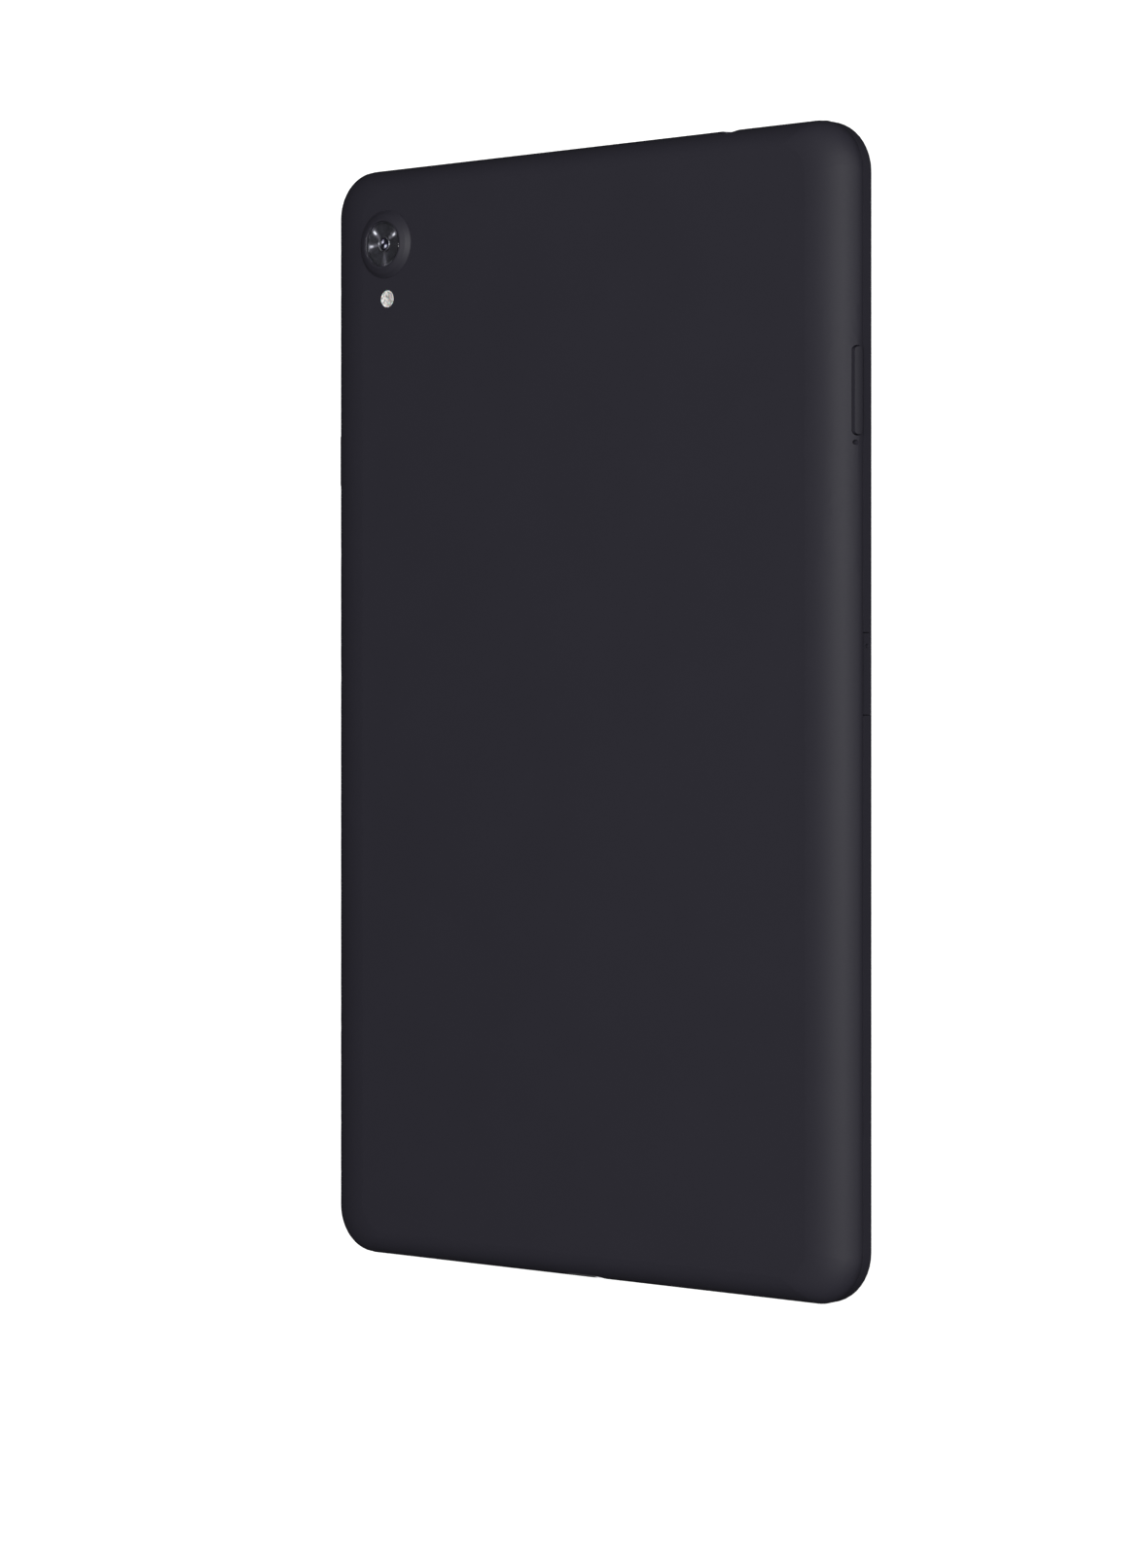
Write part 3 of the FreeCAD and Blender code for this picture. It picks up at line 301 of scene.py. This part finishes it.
def screen_glass(name):
    """The front glass with the screen off: a black printed border round a slightly lighter screen."""
    material, tree, shader = new_material(name)
    low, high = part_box("lcd_cell")
    middle = (low + high) / 2
    half = (high - low) / 2 - Vector((*SCREEN_BORDER, 0))
    place = tree.nodes.new("ShaderNodeTexCoord")
    parts = tree.nodes.new("ShaderNodeSeparateXYZ")
    tree.links.new(place.outputs["Object"], parts.inputs["Vector"])
    inside = []
    for axis in (0, 1):
        centred = arithmetic(tree, "SUBTRACT", parts.outputs[axis], middle[axis])
        inside.append(arithmetic(tree, "LESS_THAN", arithmetic(tree, "ABSOLUTE", centred), half[axis]))
    screen = arithmetic(tree, "MULTIPLY", *inside)
    low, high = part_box("front_camera")
    eye = (low + high) / 2
    squares = []
    for axis in (0, 1):
        centred = arithmetic(tree, "SUBTRACT", parts.outputs[axis], eye[axis])
        squares.append(arithmetic(tree, "POWER", centred, 2.0))
    far = arithmetic(tree, "SQRT", arithmetic(tree, "ADD", *squares))
    rim = arithmetic(tree, "COMPARE", far, FRONT_EYE_RADIUS)
    rim.node.inputs[2].default_value = FRONT_EYE_RIM
    tone = blend_colours(tree, screen, (0.0035, 0.0035, 0.0038), (0.0095, 0.0098, 0.0112))
    tone = blend_colours(tree, rim, tone, (0.03, 0.03, 0.034))
    tree.links.new(tone, shader.inputs["Base Color"])
    smudge = noise(tree, 22 * MM, 4.0)
    tree.links.new(spread(tree, smudge, 0.035, 0.075, 0.4, 0.75), shader.inputs["Roughness"])
    set_inputs(shader, Specular_IOR_Level=0.5, Coat_Weight=0.3, Coat_Roughness=0.03)
    return material


def cable_jacket(name):
    """A braided look under a thin dark jacket."""
    material, tree, shader = new_material(name)
    braid = add_node(tree, "ShaderNodeTexWave", Scale=1 / (0.6 * MM), Distortion=0.4)
    tree.links.new(object_place(tree, (1, 1, 1)), braid.inputs["Vector"])
    tone = blend_colours(tree, braid.outputs["Fac"], (0.015, 0.015, 0.017), (0.03, 0.03, 0.033))
    tree.links.new(tone, shader.inputs["Base Color"])
    set_inputs(shader, Roughness=0.5)
    raise_bumps(tree, shader, [(braid.outputs["Fac"], 0.02 * MM, 0.3)])
    return material


CHARCOAL = (0.0174, 0.0165, 0.0231)
FINE_GRAIN = 0.1 * MM

MATERIALS = {
    "rear_plastic": moulded("rear_plastic", CHARCOAL, 0.57, specular=0.15),
    "frame_plastic": moulded("frame_plastic", shade(CHARCOAL, 1.2), 0.5, specular=0.25),
    "key_plastic": moulded("key_plastic", shade(CHARCOAL, 0.85), 0.55, FINE_GRAIN, 0.003 * MM, 0.15),
    "painted_ring": moulded("painted_ring", CHARCOAL, 0.55, FINE_GRAIN, 0.002 * MM, 0.2),
    "black_plastic": moulded("black_plastic", (0.008, 0.008, 0.009), 0.5),
    "chip_resin": moulded("chip_resin", (0.018, 0.018, 0.02), 0.6, grain=0.08 * MM),
    "white_film": moulded("white_film", (0.75, 0.76, 0.78), 0.4, grain=0.3 * MM),
    "dark_film": moulded("dark_film", (0.05, 0.052, 0.06), 0.25, grain=0.5 * MM, depth=0.002 * MM),
    "tape": moulded("tape", (0.02, 0.02, 0.02), 0.8, grain=0.25 * MM, depth=0.02 * MM),
    "thermal_rubber": moulded("thermal_rubber", (0.42, 0.45, 0.5), 0.7, grain=0.4 * MM),
    "graphite": moulded("graphite", (0.05, 0.05, 0.053), 0.45, grain=0.5 * MM, depth=0.01 * MM),
    "steel": metal("steel", (0.55, 0.55, 0.56), 0.3),
    "plate_metal": metal("plate_metal", (0.66, 0.67, 0.69), 0.4, stretch=(30, 1, 1)),
    "plated": metal("plated", (0.6, 0.58, 0.54), 0.22, size=1 * MM),
    "socket_metal": metal("socket_metal", (0.2, 0.2, 0.21), 0.45, size=1 * MM),
    "laminate": board_laminate("laminate"),
    "film": flexible_film("film"),
    "foil": battery_foil("foil"),
    "mesh": woven_mesh("mesh"),
    "screen": screen_glass("screen"),
    "window": clear("window", (0.93, 0.94, 0.97)),
    "jacket": cable_jacket("jacket"),
}

NODE_MATERIALS = {
    "rear_plastic": ["rear_cover"],
    "frame_plastic": ["front_frame", "card_tray"],
    "key_plastic": ["volume_key", "power_key"],
    "painted_ring": ["camera_ring"],
    "black_plastic": [
        "rear_camera", "front_camera", "headphone_jack", "usb_tongue", "left_speaker", "right_speaker",
        "board_connectors", "camera_hood",
    ],
    "chip_resin": [
        "processor_chip", "memory_chip", "storage_chip", "power_chip", "radio_chip", "display_driver_chip",
    ],
    "white_film": ["backlight_film", "light_guide", "backlight_leds", "flash_led"],
    "dark_film": ["touch_film", "lcd_cell"],
    "tape": ["glass_adhesive", "battery_adhesive"],
    "thermal_rubber": ["thermal_pad"],
    "graphite": ["heat_spreader"],
    "steel": [
        "backlight_tray", "processor_shield", "radio_shield", "board_screws", "volume_bracket",
        "power_bracket", "card_socket",
    ],
    "plate_metal": ["mid_plate"],
    "plated": [
        "board_standoffs", "jack_contacts", "bottom_microphone", "side_microphone",
        "upper_antenna", "lower_antenna",
    ],
    "socket_metal": ["usb_shell"],
    "laminate": ["main_board", "usb_board", "battery_board"],
    "film": ["display_flex", "battery_lead", "board_link_flex", "volume_switches", "power_switch"],
    "foil": ["battery_cell"],
    "mesh": ["speaker_meshes"],
    "screen": ["cover_glass"],
    "window": ["camera_window"],
    "jacket": ["antenna_cable"],
}


def dress(piece, material):
    """Gives a piece one material."""
    if not piece.material_slots:
        piece.data.materials.append(material)
    for slot in piece.material_slots:
        slot.material = material


def dress_nodes():
    """Gives each CAD node listed in NODE_MATERIALS its material."""
    for name, labels in NODE_MATERIALS.items():
        for label in labels:
            dress(NODES[label], MATERIALS[name])


# ---- pieces --------------------------------------------------------------------------------------


def finish_piece(name, vertices, faces, material, smooth=True):
    """Makes a mesh object from vertices and faces, and lets it ride on the casing."""
    mesh = bpy.data.meshes.new(name)
    mesh.from_pydata(vertices, [], faces)
    mesh.update()
    piece = bpy.data.objects.new(name, mesh)
    bpy.context.scene.collection.objects.link(piece)
    dress(piece, material)
    for face in mesh.polygons:
        face.use_smooth = smooth
    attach(piece, ROOT)
    return piece


def lathe(name, centre, profile, material, closed=True):
    """A piece turned about an upright axis: the profile is a list of radius and Z."""
    vertices, rings = [], []
    for radius, z in profile:
        if radius <= 1e-9:
            rings.append([len(vertices)])
            vertices.append((centre[0], centre[1], z))
            continue
        rings.append(list(range(len(vertices), len(vertices) + ROUND_STEPS)))
        for step in range(ROUND_STEPS):
            angle = 2 * math.pi * step / ROUND_STEPS
            x = centre[0] + radius * math.cos(angle)
            vertices.append((x, centre[1] + radius * math.sin(angle), z))
    faces = []
    pairs = list(zip(rings, rings[1:]))
    if closed and len(rings[0]) > 1:
        pairs.append((rings[-1], rings[0]))
    for first, second in pairs:
        for step in range(ROUND_STEPS):
            following = (step + 1) % ROUND_STEPS
            if len(first) == 1 and len(second) == 1:
                continue
            if len(first) == 1:
                faces.append((first[0], second[step], second[following]))
            elif len(second) == 1:
                faces.append((first[step], second[0], first[following]))
            else:
                faces.append((first[step], second[step], second[following], first[following]))
    return finish_piece(name, vertices, faces, material)


def polar_place(tree, centre):
    """The angle and the distance about an upright axis through a centre."""
    place = tree.nodes.new("ShaderNodeTexCoord")
    parts = tree.nodes.new("ShaderNodeSeparateXYZ")
    tree.links.new(place.outputs["Object"], parts.inputs["Vector"])
    across = arithmetic(tree, "SUBTRACT", parts.outputs["X"], centre.x)
    along = arithmetic(tree, "SUBTRACT", parts.outputs["Y"], centre.y)
    squares = [arithmetic(tree, "MULTIPLY", side, side) for side in (across, along)]
    distance = arithmetic(tree, "SQRT", arithmetic(tree, "ADD", *squares))
    return arithmetic(tree, "ARCTAN2", along, across), distance


def painted_radial_highlights(tree, angle, turns, sharpness):
    """A painted-highlight factor that is bright along a few fixed directions, each given in degrees with
    its strength.
    """
    total = 0.0
    for turn, strength in turns:
        shifted = arithmetic(tree, "SUBTRACT", angle, math.radians(turn))
        near = arithmetic(tree, "MAXIMUM", arithmetic(tree, "COSINE", shifted), 0.0)
        glint = arithmetic(tree, "MULTIPLY", arithmetic(tree, "POWER", near, sharpness), strength)
        total = arithmetic(tree, "ADD", glint, total)
    return total


def ring_band(tree, distance, radius, width):
    """A factor that is 1 at a radius and falls to 0 at a width on either side."""
    off = arithmetic(tree, "DIVIDE", arithmetic(tree, "SUBTRACT", distance, radius), width)
    squared = arithmetic(tree, "MULTIPLY", off, off)
    return arithmetic(tree, "MAXIMUM", arithmetic(tree, "SUBTRACT", 1.0, squared), 0.0)


def paint_highlights_into_colour(tree, shader, centre, sectors, spots, colours):
    """Paints highlights into a round face's colour: wide bright sectors, and brighter spots in them at one
    radius.
    """
    angle, distance = polar_place(tree, centre)
    wide = painted_radial_highlights(tree, angle, *sectors)
    turns, sharpness, radius, width = spots
    bright = painted_radial_highlights(tree, angle, turns, sharpness)
    bright = arithmetic(tree, "MULTIPLY", bright, ring_band(tree, distance, radius, width))
    dark, sector, white = colours
    tone = blend_colours(tree, wide, dark, sector)
    tone = blend_colours(tree, bright, tone, white)
    tree.links.new(tone, shader.inputs["Base Color"])


def dark_cone():
    """The finely turned cone under the camera window: narrow ridges that step down to the lens. Its colour
    holds painted highlights: bright sectors and spots at fixed angles.
    """
    low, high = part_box("camera_hood")
    lens_low, lens_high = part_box("rear_camera_lens")
    centre = (low + high) / 2
    outer = (high.x - low.x) / 2
    inner = (lens_high.x - lens_low.x) / 2 + CONE_GAP
    rim = outer - CONE_RIM
    top, foot = high.z - CONE_TOP, low.z + CONE_FOOT
    profile = []
    for index in range(RIDGES):
        for share, lift in ((0.0, 0.0), (RIDGE_CREST, RIDGE_LIFT)):
            along = (index + share) / RIDGES
            profile.append((rim + (inner - rim) * along, top + (foot - top) * along + lift))
    profile += [(inner, foot), (inner, low.z), (outer, low.z), (outer, top)]
    # Dark base colour, then the painted sheen colour and the painted highlight colour.
    colours = ((0.0055, 0.0055, 0.0075), (0.06, 0.058, 0.068), (0.55, 0.55, 0.58))
    material = moulded("cone_with_painted_highlights", colours[0], 0.38, grain=0.08 * MM, depth=0.001 * MM)
    tree = material.node_tree
    sectors = (CONE_PAINTED_SHEEN_SECTORS, 90.0)
    spots = (CONE_PAINTED_GLINTS, 420.0, CONE_PAINTED_GLINT_RADIUS, CONE_PAINTED_GLINT_WIDTH)
    paint_highlights_into_colour(tree, tree.nodes["Principled BSDF"], centre, sectors, spots, colours)
    cone = lathe("turned_camera_cone", centre, profile, material)
    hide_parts("camera_hood")


def camera_lens():
    """The domed front element with its coating and painted highlights in its colour, and the bright
    retaining ring.
    """
    low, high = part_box("rear_camera_lens")
    centre = (low + high) / 2
    radius = (high.x - low.x) / 2
    material, tree, shader = new_material("coated_lens_painted_glints")
    # Painted sheen and painted highlight spots on the lens, at fixed angles.
    sides = (((130, 0.5), (310, 0.5)), 4.0)
    spots = (((130, 1.0), (310, 1.0)), 8.0, LENS_PAINTED_GLINT_RADIUS, LENS_PAINTED_GLINT_WIDTH)
    colours = ((0.003, 0.003, 0.006), (0.012, 0.009, 0.02), (0.4, 0.4, 0.46))
    paint_highlights_into_colour(tree, shader, centre, sides, spots, colours)
    set_inputs(shader, Roughness=0.03, Coat_Weight=1.0, Coat_Roughness=0.01)
    dome = []
    for step in range(LENS_STEPS + 1):
        angle = math.pi / 2 * step / LENS_STEPS
        dome.append((radius * math.sin(angle), low.z + (high.z - low.z) * math.cos(angle)))
    dome.append((0, low.z))
    lens = lathe("domed_lens", centre, dome, material, closed=False)
    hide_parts("rear_camera_lens")
    inner, outer = radius - LENS_RING_WIDTH, radius + LENS_RING_OVERHANG
    near = high.z + LENS_RING_RISE
    across, down = LENS_RING_BEVEL
    profile = [
        (inner, near - down),
        (inner + across, near),
        (outer - across, near),
        (outer, near - down),
        (outer, low.z + 0.02 * MM),
        (inner, low.z + 0.2 * MM),
    ]
    ring = lathe("lens_retaining_ring", centre, profile, metal("lens_ring", (0.3, 0.3, 0.33), 0.3))


def flash_lens():
    """The milky flash window with fine stepped rings on its face."""
    low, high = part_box("flash_window")
    centre = (low + high) / 2
    radius = (high.x - low.x) / 2
    material, tree, shader = new_material("milky_lens")
    cloud = noise(tree, 0.55 * MM, 2.0)
    tone = blend_colours(tree, spread(tree, cloud, 0, 1), (0.2, 0.2, 0.195), (0.72, 0.72, 0.7))
    tree.links.new(tone, shader.inputs["Base Color"])
    set_inputs(shader, Roughness=0.22, Subsurface_Weight=0.3, Subsurface_Scale=0.4 * MM)
    # A faint glow: painted light, as the flash is not lit.
    set_inputs(shader, Emission_Color=(1.0, 0.98, 0.92, 1), Emission_Strength=0.03)
    profile = [(0, high.z - 0.015 * MM)]
    for index in range(FLASH_RINGS):
        start = radius * FLASH_RINGS_SHARE * (index + 0.15) / FLASH_RINGS
        end = radius * FLASH_RINGS_SHARE * (index + 1) / FLASH_RINGS
        profile.append((start, high.z - 0.02 * MM))
        profile.append((end, high.z - 0.06 * MM))
    profile.append((radius * FLASH_RIM_SHARE, high.z - 0.005 * MM))
    profile.append((radius - 0.03 * MM, high.z - 0.01 * MM))
    profile.append((radius, high.z - 0.05 * MM))
    profile.append((radius, low.z))
    profile.append((0, low.z))
    window = lathe("flash_lens", centre, profile, material, closed=False)
    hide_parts("flash_window")


def box_faces(start):
    """The six faces of a box whose eight corners begin at an index."""
    quads = ((0, 1, 3, 2), (4, 6, 7, 5), (0, 4, 5, 1), (2, 3, 7, 6), (0, 2, 6, 4), (1, 5, 7, 3))
    return [tuple(start + corner for corner in quad) for quad in quads]


def many_boxes(name, boxes, material):
    """One piece of several small bevelled boxes, each given by its two corners."""
    vertices, faces = [], []
    for low, high in boxes:
        faces += box_faces(len(vertices))
        vertices += itertools.product(*zip(low, high))
    piece = finish_piece(name, vertices, faces, material, smooth=False)
    bevel = piece.modifiers.new("rounded", "BEVEL")
    bevel.width = BEVEL_WIDTH
    bevel.segments = 2
    return piece


def socket_contacts():
    """The row of gold contacts on both faces of the charging socket's tongue."""
    low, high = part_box("usb_tongue")
    half = CONTACT_WIDTH / 2
    start, end = CONTACT_SPAN
    middle = (low.x + high.x) / 2
    boxes = []
    for index in range(CONTACT_COUNT):
        x = middle + (index - (CONTACT_COUNT - 1) / 2) * CONTACT_PITCH
        for face, outward in ((low.z, -1), (high.z, 1)):
            edges = sorted((face, face + outward * CONTACT_RISE))
            first = (x - half, low.y + start, edges[0])
            boxes.append((first, (x + half, low.y + end, edges[1])))
    gold = metal("gold_contacts", (0.83, 0.6, 0.25), 0.25, size=0.5 * MM)
    contacts = many_boxes("socket_contacts", boxes, gold)


# ---- stage ---------------------------------------------------------------------------------------

BACK_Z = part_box("rear_cover")[1].z
MIDDLE = sum(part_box("front_frame"), Vector()) / 2
FLOOR_RADIUS = 6.0
FLOOR_STEPS = 96
FLOOR_GAP = 0.02 * MM
WORLD_DIM = 0.03
CAMERA_TURN = math.radians(40.16)
CAMERA_DISTANCE = 0.7319
CAMERA_LENS = 93.24
CAMERA_SHIFT = (0.0004, -0.0459)


def floor():
    """A large pale round floor. It glows more farther out, and neither lights nor mirrors in the tablet."""
    radius, steps = FLOOR_RADIUS, FLOOR_STEPS
    vertices = [(0, 0, 0)]
    for step in range(steps):
        angle = 2 * math.pi * step / steps
        vertices.append((radius * math.cos(angle), radius * math.sin(angle), 0))
    faces = [(0, 1 + step, 1 + (step + 1) % steps) for step in range(steps)]
    mesh = bpy.data.meshes.new("floor")
    mesh.from_pydata(vertices, [], faces)
    plane = bpy.data.objects.new("floor", mesh)
    bpy.context.scene.collection.objects.link(plane)
    plane.location.z = CAD_BOX[0].z - FLOOR_GAP
    material, tree, shader = new_material("pale_floor")
    paper = noise(tree, 0.4, 2.0)
    tone = blend_colours(tree, spread(tree, paper, 0, 1), (0.597, 0.597, 0.597), (0.6, 0.6, 0.6))
    tree.links.new(tone, shader.inputs["Base Color"])
    far = tree.nodes.new("ShaderNodeVectorMath")
    far.operation = "LENGTH"
    tree.links.new(object_place(tree), far.inputs[0])
    glow = spread(tree, far.outputs["Value"], 0.72, 1.0, 0.2, 0.8)
    tree.links.new(glow, shader.inputs["Emission Strength"])
    set_inputs(shader, Roughness=0.9, Specular_IOR_Level=0.0, Emission_Color=(1, 1, 1, 1))
    dress(plane, material)
    plane.visible_diffuse = False
    plane.visible_glossy = False


def aim(light, target):
    """Points an object's -Z axis at a place."""
    direction = Vector(target) - light.location
    light.rotation_euler = direction.to_track_quat("-Z", "Y").to_euler()


def soft_light(name, turn, rise, distance, size, power):
    """An area light. Turn leans it from straight above to the right, and rise to the camera end."""
    data = bpy.data.lights.new(name, "AREA")
    data.shape = "RECTANGLE"
    data.size, data.size_y = size
    data.energy = power
    light = bpy.data.objects.new(name, data)
    bpy.context.scene.collection.objects.link(light)
    turn, rise = math.radians(turn), math.radians(rise)
    away = Vector((math.sin(turn) * math.cos(rise), math.sin(rise), math.cos(turn) * math.cos(rise)))
    light.location = MIDDLE + away * distance
    aim(light, MIDDLE)


def lights():
    """A large soft light above, leaning to the right, and a weak one from the right side."""
    soft_light("top_softbox", 27, 5, 1.5, (0.75, 1.0), 30)
    soft_light("side_softbox", 72, 4, 1.4, (0.4, 0.9), 8)


def world():
    """A white surround for the camera that lights the tablet only dimly."""
    scene_world = bpy.data.worlds.new("studio")
    bpy.context.scene.world = scene_world
    scene_world.use_nodes = True
    tree = scene_world.node_tree
    tree.nodes.clear()
    path = tree.nodes.new("ShaderNodeLightPath")
    seen = add_node(tree, "ShaderNodeBackground", Color=(1, 1, 1, 1), Strength=1.0)
    dim = add_node(tree, "ShaderNodeBackground", Color=(1, 1, 1, 1), Strength=WORLD_DIM)
    chosen = tree.nodes.new("ShaderNodeMixShader")
    out = tree.nodes.new("ShaderNodeOutputWorld")
    tree.links.new(path.outputs["Is Camera Ray"], chosen.inputs["Fac"])
    tree.links.new(dim.outputs["Background"], chosen.inputs[1])
    tree.links.new(seen.outputs["Background"], chosen.inputs[2])
    tree.links.new(chosen.outputs["Shader"], out.inputs["Surface"])


def camera():
    """A camera with a long lens above the back, to its right, with the camera end at the picture's top."""
    data = bpy.data.cameras.new("camera")
    data.lens = CAMERA_LENS
    data.shift_x, data.shift_y = CAMERA_SHIFT
    data.clip_start, data.clip_end = 0.01, 100
    view = bpy.data.objects.new("camera", data)
    bpy.context.scene.collection.objects.link(view)
    away = Vector((math.sin(CAMERA_TURN), 0, math.cos(CAMERA_TURN)))
    view.location = Vector((MIDDLE.x, MIDDLE.y, BACK_Z)) + away * CAMERA_DISTANCE
    view.rotation_euler = (0, CAMERA_TURN, 0)
    bpy.context.scene.camera = view


dress_nodes()
dark_cone()
camera_lens()
flash_lens()
socket_contacts()
NODES["camera_window"].visible_shadow = False
floor()
lights()
world()
camera()
bpy.context.scene.view_settings.view_transform = "Standard"
